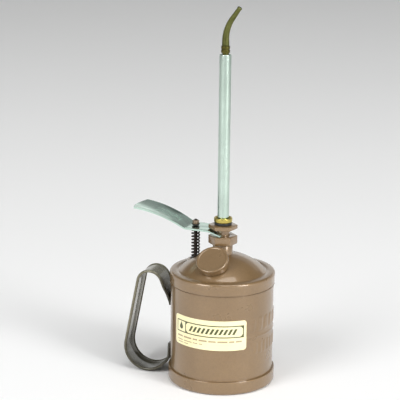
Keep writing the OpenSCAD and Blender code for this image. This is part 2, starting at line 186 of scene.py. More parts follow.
def join(name, pieces):
    """One object from several meshes, in order."""
    bm = bmesh.new()
    for piece in pieces:
        bm.from_mesh(piece.data)
    mesh = bpy.data.meshes.new(name)
    bm.to_mesh(mesh)
    bm.free()
    for piece in pieces:
        bpy.data.objects.remove(piece)
    obj = bpy.data.objects.new(name, mesh)
    bpy.context.scene.collection.objects.link(obj)
    soften(obj)
    return obj


def fillet(points, sizes, steps=5):
    """Rounds the corners of an outline; sizes has one radius per point."""
    out = []
    n = len(points)
    for i, (p, r) in enumerate(zip(points, sizes)):
        a, b = Vector(points[i - 1]), Vector(points[(i + 1) % n])
        p = Vector(p)
        if r <= 0:
            out.append(tuple(p))
            continue
        u, v = (a - p).normalized(), (b - p).normalized()
        half = acos(max(-1.0, min(1.0, u.dot(v)))) / 2
        reach = min(r / tan(half), (a - p).length * 0.49, (b - p).length * 0.49)
        radius = reach * tan(half)
        centre = p + (u + v).normalized() * (radius / sin(half))
        start, end = p + u * reach - centre, p + v * reach - centre
        a0 = atan2(start.y, start.x)
        turn = (atan2(end.y, end.x) - a0 + pi) % (2 * pi) - pi
        for k in range(steps + 1):
            a = a0 + turn * k / steps
            out.append((centre.x + radius * cos(a), centre.y + radius * sin(a)))
    return out


def lathe(name, profile, steps=ROUND_STEPS, place=None):
    """Solid of revolution about Z from a closed (radius, height) outline."""
    points, faces = [], []
    n = len(profile)
    for k in range(steps):
        a = 2 * pi * k / steps
        points += [(r * cos(a), r * sin(a), z) for r, z in profile]
    for k in range(steps):
        m = (k + 1) % steps
        for i in range(n):
            j = (i + 1) % n
            if profile[i][0] < 1e-6 and profile[j][0] < 1e-6:
                continue
            ring = [k * n + i, k * n + j, m * n + j, m * n + i]
            if profile[i][0] < 1e-6:
                ring = ring[:3]
            elif profile[j][0] < 1e-6:
                ring = [ring[0], ring[1], ring[3]]
            faces.append(ring)
    if place is not None:
        points = [place @ Vector(p) for p in points]
    return new_mesh(name, points, faces)


def tube_along(name, centres, frames, sections):
    """Closed skin over sections; each lists (u, v) offsets in its frame."""
    points, faces = [], []
    n = len(sections[0])
    for c, (u, v), section in zip(centres, frames, sections):
        points += [Vector(c) + u * a + v * b for a, b in section]
    for i in range(len(centres) - 1):
        for j in range(n):
            k = (j + 1) % n
            faces.append((i * n + j, i * n + k, (i + 1) * n + k, (i + 1) * n + j))
    faces.append(tuple(range(n)))
    faces.append(tuple((len(centres) - 1) * n + j for j in range(n)))
    return new_mesh(name, points, faces)


def circle(r, steps):
    return [(r * cos(2 * pi * k / steps), r * sin(2 * pi * k / steps)) for k in range(steps)]


def arc(r, start, sweep, steps, centre=(0, 0)):
    """Points on an arc; its start and sweep are in degrees."""
    angles = [radians(start + sweep * k / steps) for k in range(steps + 1)]
    return [(centre[0] + r * cos(a), centre[1] + r * sin(a)) for a in angles]


def plug(name, r, z0, z1, steps, place):
    """Solid cylinder from z0 to z1."""
    return lathe(name, [(0, z0), (r, z0), (r, z1), (0, z1)], steps, place)


def prism(name, outline, z0, z1, turn=0.0, centre=(0, 0)):
    """Upright solid from a flat outline."""
    n = len(outline)
    points = []
    for z in (z0, z1):
        for x, y in outline:
            points.append((centre[0] + x * cos(turn) - y * sin(turn),
                           centre[1] + x * sin(turn) + y * cos(turn), z))
    faces = [tuple(range(n)), tuple(range(n, 2 * n))]
    faces += [(i, (i + 1) % n, n + (i + 1) % n, n + i) for i in range(n)]
    return new_mesh(name, points, faces, smooth=False)


def smoothstep(a, b, x):
    t = max(0.0, min(1.0, (x - a) / (b - a)))
    return t * t * (3 - 2 * t)


# ---------------------------------------------------------------- materials


class Shader:
    """A node material, with short helpers for the nodes used here."""

    def __init__(self, name, **settings):
        self.material = bpy.data.materials.new(name)
        self.material.use_nodes = True
        self.tree = self.material.node_tree
        self.bsdf = self.tree.nodes["Principled BSDF"]
        self.where = self.node("ShaderNodeTexCoord").outputs["Object"]
        for key, value in settings.items():
            self.bsdf.inputs[key.replace("_", " ")].default_value = value

    def node(self, kind, **values):
        node = self.tree.nodes.new(kind)
        for key, value in values.items():
            if hasattr(node, key):
                setattr(node, key, value)
            else:
                node.inputs[key.replace("_", " ")].default_value = value
        return node

    def link(self, a, b):
        self.tree.links.new(a, b)

    def stretched(self, scale):
        mapping = self.node("ShaderNodeMapping")
        mapping.inputs["Scale"].default_value = scale
        self.link(self.where, mapping.inputs["Vector"])
        return mapping.outputs["Vector"]

    def noise(self, scale, detail=4.0, roughness=0.5, stretch=None):
        node = self.node("ShaderNodeTexNoise", Scale=scale, Detail=detail, Roughness=roughness)
        self.link(self.stretched(stretch) if stretch else self.where, node.inputs["Vector"])
        return node.outputs["Fac"]

    def ramp(self, value, *stops):
        node = self.node("ShaderNodeValToRGB")
        ramp = node.color_ramp
        while len(ramp.elements) < len(stops):
            ramp.elements.new(0.5)
        for element, (position, colour) in zip(ramp.elements, stops):
            element.position = position
            element.color = colour if len(colour) == 4 else (*colour, 1)
        self.link(value, node.inputs["Fac"])
        return node.outputs["Color"]

    def span(self, value, from_min, from_max, to_min, to_max):
        node = self.node("ShaderNodeMapRange")
        for key, number in zip(("From Min", "From Max", "To Min", "To Max"),
                               (from_min, from_max, to_min, to_max)):
            node.inputs[key].default_value = number
        self.link(value, node.inputs["Value"])
        return node.outputs["Result"]

    def mix(self, factor, a, b, blend="MIX"):
        node = self.node("ShaderNodeMix", data_type="RGBA", blend_type=blend)
        self.put(factor, node.inputs["Factor"])
        self.put(a, node.inputs[6])
        self.put(b, node.inputs[7])
        return node.outputs[2]

    def put(self, value, socket):
        if isinstance(value, bpy.types.NodeSocket):
            self.link(value, socket)
        elif isinstance(value, (tuple, list)):
            socket.default_value = value if len(value) == 4 else (*value, 1)
        else:
            socket.default_value = value

    def bump(self, *layers):
        """Stacks bumps given as (height socket, strength, distance in mm)."""
        last = None
        for height, strength, distance in layers:
            node = self.node("ShaderNodeBump", Strength=strength, Distance=distance * MM)
            self.link(height, node.inputs["Height"])
            if last:
                self.link(last, node.inputs["Normal"])
            last = node.outputs["Normal"]
        self.link(last, self.bsdf.inputs["Normal"])


def enamel(name, light, dark, roughness=0.30, painted_shade=None):
    """Baked bronze-brown enamel: fine mottling and orange peel under a clear
    coat. Its last argument, when given, paints shade: it darkens the enamel
    below a height, fading from the argument's first to its second number in
    millimetres, and beside the handle's welds, where shade falls between
    handle and can, and it thins the clear coat there."""
    s = Shader(name, Metallic=0.30, Coat_Weight=0.8, Coat_Roughness=0.10, Coat_IOR=1.65)
    mottle = s.noise(26, detail=6, roughness=0.6)
    colour = s.ramp(mottle, (0.34, dark), (0.66, light))
    speck = s.ramp(s.noise(900, detail=3), (0.36, (0.93, 0.93, 0.93)), (0.60, (1, 1, 1)))
    colour = s.mix(1.0, colour, speck, "MULTIPLY")
    # Painted shade: darker enamel and a thinner coat low on the handle and next to the can where
    # the handle is welded on.
    if painted_shade:
        fade_from, fade_to = painted_shade
        shade_by_can_from, shade_by_can_to = -47, -40
        split = s.node("ShaderNodeSeparateXYZ")
        s.link(s.where, split.inputs[0])
        low_shade = s.span(split.outputs["Z"], fade_from * MM, fade_to * MM, 0.8, 0.0)
        shade_by_can = s.span(split.outputs["X"], shade_by_can_from * MM, shade_by_can_to * MM, 0.0, 1.0)
        # Mask of the painted shade: the larger of the two.
        shade_mask = s.node("ShaderNodeMath", operation="MAXIMUM")
        s.link(low_shade, shade_mask.inputs[0])
        s.link(shade_by_can, shade_mask.inputs[1])
        colour = s.mix(shade_mask.outputs[0], colour, tuple(c * 0.3 for c in dark))
        s.put(s.span(shade_mask.outputs[0], 0.0, 1.0, 0.8, 0.1), s.bsdf.inputs["Coat Weight"])
    s.put(colour, s.bsdf.inputs["Base Color"])
    s.put(s.span(s.noise(60, detail=5), 0.3, 0.7, roughness - 0.05, roughness + 0.08),
          s.bsdf.inputs["Roughness"])
    s.bump((s.noise(420, detail=2), 0.10, 0.10), (s.noise(1700, detail=2), 0.06, 0.03))
    return s.material


def zinc(name, stretch, tint=(0.70, 0.74, 0.71), roughness=0.22):
    """Bright zinc plate with drawing marks along one direction."""
    s = Shader(name, Metallic=1.0)
    cloud = s.noise(45, detail=5, roughness=0.6)
    streak = s.noise(320, detail=4, stretch=stretch)
    dull = tuple(c * 0.80 for c in tint)
    colour = s.mix(s.span(cloud, 0.35, 0.7, 0.0, 1.0), tint, dull)
    colour = s.mix(s.span(streak, 0.45, 0.75, 0.0, 0.35), colour, (0.50, 0.56, 0.53))
    s.put(colour, s.bsdf.inputs["Base Color"])
    s.put(s.span(streak, 0.3, 0.7, roughness - 0.06, roughness + 0.14),
          s.bsdf.inputs["Roughness"])
    s.bump((streak, 0.10, 0.03), (s.noise(1300, detail=3), 0.05, 0.02))
    return s.material


def brass(name, bright, dull, roughness, stain=0.4):
    s = Shader(name, Metallic=1.0)
    cloud = s.noise(160, detail=6, roughness=0.65)
    s.put(s.mix(s.span(cloud, 0.40, 0.70, 0.0, stain), bright, dull),
          s.bsdf.inputs["Base Color"])
    s.put(s.span(cloud, 0.3, 0.7, roughness, roughness + 0.2), s.bsdf.inputs["Roughness"])
    turning = s.noise(900, detail=2, stretch=(0.05, 0.05, 1.0))
    s.bump((turning, 0.12, 0.04), (s.noise(1400, detail=3), 0.06, 0.02))
    return s.material


def dark_steel(name, base=(0.035, 0.028, 0.024), roughness=0.32):
    s = Shader(name, Metallic=0.85)
    cloud = s.noise(500, detail=5)
    worn = tuple(c * 3.2 for c in base)
    s.put(s.mix(s.span(cloud, 0.5, 0.75, 0.0, 0.6), base, worn), s.bsdf.inputs["Base Color"])
    s.put(s.span(cloud, 0.3, 0.7, roughness, roughness + 0.2), s.bsdf.inputs["Roughness"])
    s.bump((s.noise(1500, detail=3), 0.15, 0.03))
    return s.material


def fibre(name, base=(0.012, 0.012, 0.010)):
    s = Shader(name, Roughness=0.5)
    grain = s.noise(1200, detail=5, roughness=0.7)
    s.put(s.mix(s.span(grain, 0.4, 0.7, 0.0, 0.7), base, tuple(c * 3 for c in base)),
          s.bsdf.inputs["Base Color"])
    s.bump((grain, 0.25, 0.05))
    return s.material


def leather(name):
    s = Shader(name, Roughness=0.55)
    grain = s.node("ShaderNodeTexVoronoi", Scale=900.0)
    s.link(s.where, grain.inputs["Vector"])
    s.put(s.mix(s.noise(300), (0.16, 0.09, 0.045), (0.28, 0.17, 0.09)),
          s.bsdf.inputs["Base Color"])
    s.bump((grain.outputs["Distance"], 0.4, 0.06))
    return s.material


def sticker(name, base, other, roughness=0.38):
    """Printed foil-backed paper with faint mottling."""
    s = Shader(name, Coat_Weight=0.3, Coat_Roughness=0.2)
    wash = s.noise(55, detail=3)
    s.put(s.mix(s.span(wash, 0.35, 0.7, 0.0, 1.0), base, other), s.bsdf.inputs["Base Color"])
    s.put(s.span(s.noise(300), 0.3, 0.7, roughness - 0.04, roughness + 0.1),
          s.bsdf.inputs["Roughness"])
    s.bump((s.noise(1500, detail=3), 0.06, 0.02))
    return s.material


def floor_paint(name):
    s = Shader(name, Roughness=0.7)
    s.put(s.mix(s.noise(3), (0.97, 0.97, 0.97), (0.95, 0.95, 0.95)),
          s.bsdf.inputs["Base Color"])
    return s.material


BROWN = (0.248, 0.155, 0.071)
BROWN_DARK = (0.218, 0.134, 0.060)
MATERIALS = {
    "enamel": enamel("bronze_enamel", BROWN, BROWN_DARK),
    # The handle's enamel carries painted shade low down and beside the can.
    "handle_enamel": enamel("handle_enamel", (0.170, 0.152, 0.090), (0.120, 0.107, 0.062),
                            roughness=0.26, painted_shade=(12, 34)),
    "zinc_plate": zinc("zinc_plate", (0.08, 0.08, 1.0)),
    "brass_bright": brass("machined_brass", (0.52, 0.42, 0.11), (0.38, 0.30, 0.07), 0.16),
    "brass_dull": brass("oiled_brass", (0.145, 0.15, 0.050), (0.08, 0.083, 0.026), 0.24,
                        stain=0.9),
    "dark_steel": dark_steel("spring_steel"),
    "nut_bronze": enamel("nut_enamel", (0.26, 0.18, 0.11), (0.19, 0.13, 0.08)),
    "black_fibre": fibre("black_fibre"),
    "leather": leather("pump_leather"),
    "label_paper": sticker("label_paper", (0.94, 0.84, 0.48), (0.96, 0.88, 0.56)),
}
TUBE_ZINC = zinc("tube_zinc", (1.0, 1.0, 0.04), (0.56, 0.68, 0.60), 0.20)
LEVER_ZINC = zinc("lever_zinc", (0.06, 1.0, 1.0), (0.53, 0.70, 0.61), 0.12)
BRASS_DARK = brass("aged_brass", (0.12, 0.11, 0.03), (0.07, 0.06, 0.015), 0.22, stain=0.8)
INK_GREEN = sticker("ink_green", (0.065, 0.075, 0.022), (0.085, 0.095, 0.030))
INK_BROWN = sticker("ink_brown", (0.42, 0.33, 0.19), (0.50, 0.40, 0.24))


def finish_piece(obj, body, slot, *nodes, material=None):
    """Gives a piece its material and body, and the CAD nodes it stands for."""
    obj.data.materials.clear()
    obj.data.materials.append(material or MATERIALS[slot])
    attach(obj, body)
    if nodes:
        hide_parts(*nodes)
    return obj


# ---------------------------------------------------------------- the can


def make_base():
    """Cup on the can's foot, with a shallow ring pressed into its floor."""
    corner, edge, floor = 2.5, 0.6, 1.4
    ring_in, ring_out, ring_h = 30, 33.4, 0.6
    outline = [(0, 0), (ring_in, 0), (ring_in + ring_h, ring_h), (ring_out - ring_h, ring_h),
               (ring_out, 0), (BASE_R, 0), (BASE_R, BASE_H), (CAN_R, BASE_H), (CAN_R, floor),
               (0, floor)]
    sizes = [0, 0.4, 0.4, 0.4, 0.4, corner, edge, 0.1, 0.3, 0]
    obj = lathe("base_cup_shell", fillet(outline, sizes, 7), 160)
    finish_piece(obj, "can", "enamel", "base_cup")


EMBOSS = 0.42
EMBOSS_Z = (20, 64)                # the raised bars lie between these heights
EMBOSS_TURN = (24, 140)            # and between these turns, in degrees


def emboss_bars():
    """Plain raised bars pressed into the wall beside the label, as
    (turn from -Y towards +X in degrees, height, half width, half height,
    slant)."""
    bars = [(84, 41.5, 21.0, 0.45, 0.12)]
    bars += [(58 + 11 * i, 50.5, 2.3, 4.6, 0.10) for i in range(6)]
    bars += [(56 + 7.2 * i, 32.8, 1.15, 4.0, 0.0) for i in range(9)]
    bars += [(30 + 7.5 * i, 27.2, 0.7, 2.6, 0.35) for i in range(3)]
    return bars


def emboss_height(turn, z, bars):
    """Raise of the wall at this turn and height, in millimetres. The bars
    are pressed in less deeply near the label."""
    edge_from, edge_to = -0.7, 0.45
    depth = 0.3 + 0.7 * smoothstep(45, 85, turn)
    best = 0.0
    for middle_turn, middle_z, half_w, half_h, slant in bars:
        v = z - middle_z
        u = radians((turn - middle_turn + 180) % 360 - 180) * CAN_R - slant * v
        corner = min(half_w, half_h) * 0.6
        dx = max(abs(u) - half_w + corner, 0)
        dy = max(abs(v) - half_h + corner, 0)
        inside = corner - hypot(dx, dy)
        best = max(best, smoothstep(edge_from, edge_to, inside))
    return best * EMBOSS * depth


def make_wall():
    """Sheet cylinder, a little inside its neighbours, with raised bars."""
    turns, rows, slack = 480, 170, 0.02
    z0, z1 = low("can_wall").z, high("can_wall").z
    inner = CAN_R - SHEET
    bars = emboss_bars()
    points, faces = [], []
    for k in range(turns):
        turn = 360 * k / turns
        a = radians(turn - 90)
        for i in range(rows + 1):
            z = z0 + (z1 - z0) * i / rows
            r = CAN_R - slack
            if EMBOSS_Z[0] < z < EMBOSS_Z[1] and EMBOSS_TURN[0] < turn < EMBOSS_TURN[1]:
                r += emboss_height(turn, z, bars)
            points.append((r * cos(a), r * sin(a), z))
        points += [(inner * cos(a), inner * sin(a), z) for z in (z1, z0)]
    n = rows + 3
    for k in range(turns):
        m = (k + 1) % turns
        for i in range(n):
            j = (i + 1) % n
            faces.append((k * n + i, m * n + i, m * n + j, k * n + j))
    obj = new_mesh("can_body", points, faces)
    finish_piece(obj, "can", "enamel", "can_wall")


def make_top():
    """Skirt and rolled ring round a dome with holes for pump and filler."""
    steps = 40
    skirt_r, groove_r = LIP_R - 0.1, CAN_R + 0.1
    corners = [(STEM_R, SKIRT_Z, 0), (CAN_R, SKIRT_Z, 0), (skirt_r, SKIRT_Z, 0.15),
               (skirt_r, SKIRT_Z + 0.3, 0.1), (groove_r, SKIRT_Z + 0.4, 0),
               (groove_r, SKIRT_Z + 0.8, 0), (skirt_r, SKIRT_Z + 0.9, 0.1),
               (skirt_r, SKIRT_Z + 5.0, 0.8), (LIP_R, SKIRT_Z + 5.8, 0.8),
               (LIP_R, RING_Z, 2.4), (DOME_R + 2.2, RING_Z, 1.2),
               (DOME_R + 0.5, RING_Z - 0.35, 0.8), (STEM_R, RING_Z, 0)]
    rim = fillet([(r, z) for r, z, _ in corners], [size for _, _, size in corners], 7)[1:-1]
    dome_edge, wall_top = DOME_R - 0.2, RING_Z - 2.7
    radii = [dome_edge - (dome_edge - STEM_R) * k / steps for k in range(steps + 1)]
    outside = [(r, dome_z(r)) for r in radii]
    inside = [(r, dome_z(r, SHEET)) for r in reversed(radii)]
    under = [(DOME_R + 1.6, RING_Z - SHEET), (CAN_R - 1.8, RING_Z - SHEET),
             (CAN_R - SHEET, wall_top), (CAN_R, wall_top)]
    obj = lathe("domed_top", rim + outside + inside + under, 160)

    at_rod = Matrix.Translation((ROD_X, 0, 0))
    boss_r, boss_low, boss_top = 5.0, 84.3, high("rod_gland").z - 0.9
    hole_r, mouth_r, past = 2.7, 8.6, 9
    boss = plug("boss", boss_r + 0.4, boss_low, boss_top, 64, at_rod)
    well = plug("well", boss_r + SHEET, boss_low + 0.5, 98, 64, at_rod)
    below, sunk = 70, 0.3
    under_dome = lathe("under", [(0, below), (DOME_R - 0.5, below)]
                       + [(r, dome_z(r) - sunk) for r in radii[1:]] + [(0, dome_z(0) - sunk)], 96)
    combine(well, "INTERSECT", under_dome)
    combine(obj, "UNION", boss)
    combine(obj, "UNION", well)
    seat = plug("seat", boss_r, boss_top, boss_top + past, 64, at_rod)
    hole = plug("hole", hole_r, boss_low - 1, boss_top + past, 48, at_rod)
    mouth = plug("mouth", mouth_r, -past, past, 64, filler_place())
    cut(obj, seat, hole, mouth)
    soften(obj)
    finish_piece(obj, "can", "enamel", "top_dome")


# ---------------------------------------------------------------- label

LABEL_SPAN = radians(88)
LABEL_START = radians(6) - LABEL_SPAN / 2
LABEL_W = LABEL_SPAN * CAN_R
LABEL_H = high("label").z - low("label").z
PAPER_T = 0.16
INK_T = 0.03


def wrap(name, pieces, radius, thick):
    """Bends flat pieces round the can. Each piece is a list of polygons in
    millimetres: across from the label's left edge, and height."""
    bm = bmesh.new()
    for polygon in pieces:
        bm.faces.new([bm.verts.new((x, 0, z)) for x, z in polygon])
    xs = [v.co.x for v in bm.verts]
    for k in range(int(ceil(min(xs))), int(max(xs)) + 1):
        bmesh.ops.bisect_plane(bm, geom=bm.verts[:] + bm.edges[:] + bm.faces[:],
                               plane_co=(k, 0, 0), plane_no=(1, 0, 0), dist=1e-5)
    bmesh.ops.remove_doubles(bm, verts=bm.verts, dist=1e-5)
    bmesh.ops.solidify(bm, geom=bm.faces[:], thickness=1.0)
    for v in bm.verts:
        a = LABEL_START + v.co.x / CAN_R
        r = radius + (thick if v.co.y > 0.5 or v.co.y < -0.5 else 0)
        v.co = Vector((r * sin(a), -r * cos(a), v.co.z)) * MM
    bmesh.ops.recalc_face_normals(bm, faces=bm.faces)
    mesh = bpy.data.meshes.new(name)
    bm.to_mesh(mesh)
    bm.free()
    obj = bpy.data.objects.new(name, mesh)
    bpy.context.scene.collection.objects.link(obj)
    soften(obj)
    return obj


def box_outline(x0, z0, x1, z1, r, steps=6):
    return fillet([(x0, z0), (x1, z0), (x1, z1), (x0, z1)], [r] * 4, steps)


def band(outer, inner):
    """Quads between two outlines with the same number of points."""
    n = len(outer)
    return [[outer[i], outer[(i + 1) % n], inner[(i + 1) % n], inner[i]] for i in range(n)]


def make_label():
    """Paper label with a frame, a drop, a row of slanted bars and dashes."""
    z0 = low("label").z
    paper = wrap("label_sheet", [box_outline(0, z0, LABEL_W, z0 + LABEL_H, 2.2)], CAN_R, PAPER_T)
    finish_piece(paper, "can", "label_paper", "label")

    frame_z0, frame_z1 = z0 + 0.43 * LABEL_H, z0 + 0.84 * LABEL_H
    left, right, gap = 2.0, LABEL_W - 2.0, 0.11 * LABEL_W + 4.4
    line = 0.75
    green = band(box_outline(left, frame_z0, right, frame_z1, 0.3),
                 box_outline(left + line, frame_z0 + line, right - line, frame_z1 - line, 0.2))
    green.append([(gap, frame_z0 + line / 2), (gap + line, frame_z0 + line / 2),
                  (gap + line, frame_z1 - line / 2), (gap, frame_z1 - line / 2)])
    inner = (gap + line, frame_z0 + line, right - line, frame_z1 - line)
    corner = 2.6
    for sx, x in ((1, inner[0]), (-1, inner[2])):
        for sz, z in ((1, inner[1]), (-1, inner[3])):
            rounding = [(x + sx * corner * (1 - sin(a)), z + sz * corner * (1 - cos(a)))
                        for a in (radians(90 * k / 8) for k in range(9))]
            green.append([(x, z)] + rounding)
    drop_x, drop_z = (left + line + gap) / 2, (frame_z0 + frame_z1) / 2 - 0.5
    drop_r, drop_h = 1.75, 4.0
    drop = arc(drop_r, -215, 250, 20, (drop_x, drop_z))
    green.append(drop + [(drop_x, drop_z + drop_h)])
    count, slant, side, above = 11, 2.2, 2.6, 1.7
    x, bar_z0, bar_z1 = inner[0] + side, inner[1] + above, inner[3] - above
    pitch = (inner[2] - side - slant - x) / count
    for i in range(count):
        a, b = x + i * pitch, x + (i + 0.55) * pitch
        green.append([(a, bar_z0), (b, bar_z0), (b + slant, bar_z1), (a + slant, bar_z1)])
    ink = wrap("label_frame", green, CAN_R + PAPER_T, INK_T)
    finish_piece(ink, "can", "label_paper", material=INK_GREEN)

    brown = []
    dashes, space = (5.4, 7.2, 3.8, 6.2), 1.1
    rows = [(0.27, 1.2, left + 0.8, right - 1.5),
            (0.155, 0.7, left + 1.0, 0.44 * LABEL_W),
            (0.075, 0.6, left + 1.4, 0.24 * LABEL_W)]
    for share, tall, x, end in rows:
        z = z0 + share * LABEL_H
        count = 0
        while x < end - 1:
            x1 = min(end, x + dashes[count % len(dashes)])
            brown.append([(x, z), (x1, z), (x1, z + tall), (x, z + tall)])
            x = x1 + space
            count += 1
    small = wrap("label_lines", brown, CAN_R + PAPER_T, INK_T)
    finish_piece(small, "can", "label_paper", material=INK_BROWN)


# ---------------------------------------------------------------- handle

HANDLE_TURN = radians(5)
HANDLE_START = (-38.1, 53.4)
# Each leg is a straight length, then the radius and the degrees of a bend.
HANDLE_LEGS = [(1.2, 8.0, 20.5), (15.4, 9.5, 148.5), (49.6, 16.8, 148.0),
               (3.0, 8.0, 43.0), (9.0, 0, 0)]


def turn_point(heading):
    """Unit vectors along the strap and towards the inside of its bends."""
    return Vector((-sin(heading), 0, cos(heading))), Vector((-cos(heading), 0, -sin(heading)))


def handle_path(step=1.0):
    """Middle line of the strap: (point, heading) every step millimetres."""
    p, h = Vector((HANDLE_START[0], 0, HANDLE_START[1])), 0.0
    path = [(p.copy(), h)]
    for length, radius, bend in HANDLE_LEGS:
        n = max(1, round(length / step))
        along = turn_point(h)[0]
        for i in range(n):
            p = p + along * (length / n)
            path.append((p.copy(), h))
        if bend:
            bend = radians(bend)
            n = max(2, round(radius * bend / step))
            start, start_in = p.copy(), turn_point(h)[1]
            for i in range(1, n + 1):
                g = h + bend * i / n
                p = start + (start_in - turn_point(g)[1]) * radius
                path.append((p.copy(), g))
            h += bend
    return path


def strap_section(half, thick, bead):
    """Outline across the strap: u towards the inside of the bends, v across.
    Both edges are rolled over and a shallow groove runs along the inside."""
    edge, flat, face, groove = half - bead, half - bead - bead * 0.9, thick / 2, 0.28
    top = [(face, -flat), (face, edge * 0.18), (face - groove, edge * 0.26),
           (face - groove, edge * 0.33), (face, edge * 0.41), (face, flat)]
    right = arc(bead, -30, 240, 12, (0, edge))
    bottom = [(-face, flat), (-face, 0), (-face, -flat)]
    left = arc(bead, 150, 240, 12, (0, -edge))
    return top + right + bottom + left


def make_handle():
    """Strap bent along handle_path(); its welded ends hug the can."""
    half, thick, bead = 9.75, 1.0, 1.05
    hug_from, hug_to = 6.5, 17
    section = strap_section(half, thick, bead)
    path = handle_path()
    lengths = [0.0]
    for (a, _), (b, _) in zip(path, path[1:]):
        lengths.append(lengths[-1] + (b - a).length)
    total = lengths[-1]
    across = Vector((0, 1, 0))
    turned = Matrix.Rotation(HANDLE_TURN, 3, "Z")
    points, faces = [], []
    n = len(section)
    for (p, h), s in zip(path, lengths):
        inward = turn_point(h)[1]
        end = min(s, total - s)
        hug = 1 - smoothstep(hug_from, hug_to, end)
        narrow = 1 - 0.22 * (1 - smoothstep(0, 5, end)) ** 2
        for u, v in section:
            v *= narrow
            q = p + inward * u + across * v
            q.x += hug * (CAN_R - sqrt(CAN_R ** 2 - v * v))
            points.append(turned @ q)
    for i in range(len(path) - 1):
        for j in range(n):
            k = (j + 1) % n
            faces.append((i * n + j, i * n + k, (i + 1) * n + k, (i + 1) * n + j))
    faces += [tuple(range(n)), tuple((len(path) - 1) * n + j for j in range(n))]
    obj = new_mesh("handle", points, faces)
    finish_piece(obj, "can", "handle_enamel", "handle_strap")


# ---------------------------------------------------------------- filler


def filler_place():
    place = Matrix.Translation((0, -FILLER_R, FILLER_Z)) @ Matrix.Rotation(FILLER_TILT, 4, "X")
    return Matrix.Rotation(FILLER_TURN, 4, "Z") @ place


def make_cap():
    """Screw cap with a rolled edge round its slightly sunk face."""
    bottom, top, r, inner, ceiling = 0.5, 5.5, 11.6, 9.4, 4.1
    face = top - 0.22
    outline = [(0, ceiling), (inner, ceiling), (inner, bottom), (r - 0.1, bottom), (r, top),
               (r - 1.55, top), (r - 2.0, face), (0, face)]
    sizes = [0, 0.2, 0.2, 0.35, 1.05, 0.5, 0.4, 0]
    obj = lathe("screw_cap", fillet(outline, sizes, 7), 128, filler_place())
    finish_piece(obj, "filler_cap", "enamel", "filler_cap")


# ---------------------------------------------------------------- pump head


def hexagon(flats):
    r = flats / 2 / cos(radians(30))
    return [(r * cos(radians(60 * k)), r * sin(radians(60 * k))) for k in range(6)]


def make_hex(name, node, slot, flats, bore, round_edge, centre=(0, 0), body="can", chamfer=0.0):
    """Hexagonal nut or flange with eased edges and a bore."""
    z0, z1 = low(node).z, high(node).z
    obj = prism(name, hexagon(flats), z0, z1, HEX_TURN, centre)
    if chamfer:
        r, big = flats / 2 / cos(radians(30)) + 0.02, flats
        reach = r - flats / 2 + 0.25
        rise = reach * chamfer
        ring = lathe("chamfer", [(r - reach, z1 + 0.01), (big, z1 + 0.01), (big, z1 - rise),
                                 (r, z1 - rise)], 96, Matrix.Translation((*centre, 0)))
        cut(obj, ring)
    cut(obj, plug("hole", bore, z0 - 1, z1 + 1, 64, Matrix.Translation((*centre, 0))))
    bevel(obj, round_edge, 3)
    finish_piece(obj, body, slot, node)


def make_stem():
    """Hollow column with a flange under the dome and a nipple on top."""
    nut_z, head = low("lower_hex_nut").z, low("spout_washer").z
    foot, nipple_top = 86, head + 3.3
    flange_r, flange_z0, flange_z1 = 9, 91.2, 92.7
    socket_r, socket_z = 2.6, 90
    seat_r, seat_z = 1.3, 93.5
    chamber_r, chamber_z, outlet_r = 2.4, 104, 1.5
    outside = [(NECK_R, foot), (NECK_R, flange_z0), (flange_r, flange_z0),
               (flange_r, flange_z1), (STEM_R, flange_z1), (STEM_R, nut_z - 0.5),
               (STEM_R - 0.35, nut_z), (NECK_R, nut_z), (NECK_R, head), (NIPPLE_R, head),
               (NIPPLE_R, nipple_top)]
    bore = [(outlet_r, nipple_top), (outlet_r, chamber_z), (chamber_r, chamber_z),
            (chamber_r, seat_z), (seat_r, seat_z), (seat_r, socket_z), (socket_r, socket_z),
            (socket_r, foot)]
    obj = lathe("pump_column", outside + bore, 96)
    finish_piece(obj, "can", "enamel", "pump_stem")


def make_spring(name, node, centre_x, wire, turns):
    """Compression spring with closed ends, wound between the bottom and the
    top of its CAD node."""
    z0, z1 = low(node).z, high(node).z
    r = width(node) / 2 - wire
    steps, closed, closed_rise = 40, 0.9, 0.45
    n = round(turns * steps)
    heights, rise = [], 0.0
    for i in range(n + 1):
        t = i / steps
        heights.append(rise)
        rise += closed_rise + (1 - closed_rise) * smoothstep(0, closed, min(t, turns - t))
    scale = (z1 - z0 - 2 * wire) / heights[-1]
    centres, frames = [], []
    for i, h in enumerate(heights):
        a = 2 * pi * i / steps
        out = Vector((cos(a), sin(a), 0))
        centres.append(Vector((centre_x, 0, z0 + wire + h * scale)) + out * r)
        frames.append((out, Vector((0, 0, 1))))
    obj = tube_along(name, centres, frames, [circle(wire, 12)] * (n + 1))
    finish_piece(obj, "can", "dark_steel", node)
    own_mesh(obj)


def make_rod():
    """Plunger rod with a thread for the nut at its upper end."""
    top, bottom = high("plunger_rod").z, low("plunger_rod").z
    thread, pitch, depth = 6.4, 0.5, 0.12
    z = top - thread
    outline = [(0, bottom), (ROD_R, bottom), (ROD_R, z)]
    while z < top - 0.8:
        outline += [(ROD_R - depth, z + pitch * 0.4), (ROD_R, z + pitch * 0.8),
                    (ROD_R, z + pitch)]
        z += pitch
    outline += [(ROD_R - 0.1, top - 0.45), (ROD_R - 0.5, top), (0, top)]
    obj = lathe("plunger_shaft", outline, 40, Matrix.Translation((ROD_X, 0, 0)))
    finish_piece(obj, "plunger", "dark_steel", "plunger_rod")


# ---------------------------------------------------------------- lever


HEEL_X = -25.0
PAD_BOW = 3.0
PAD_DISH = 0.7


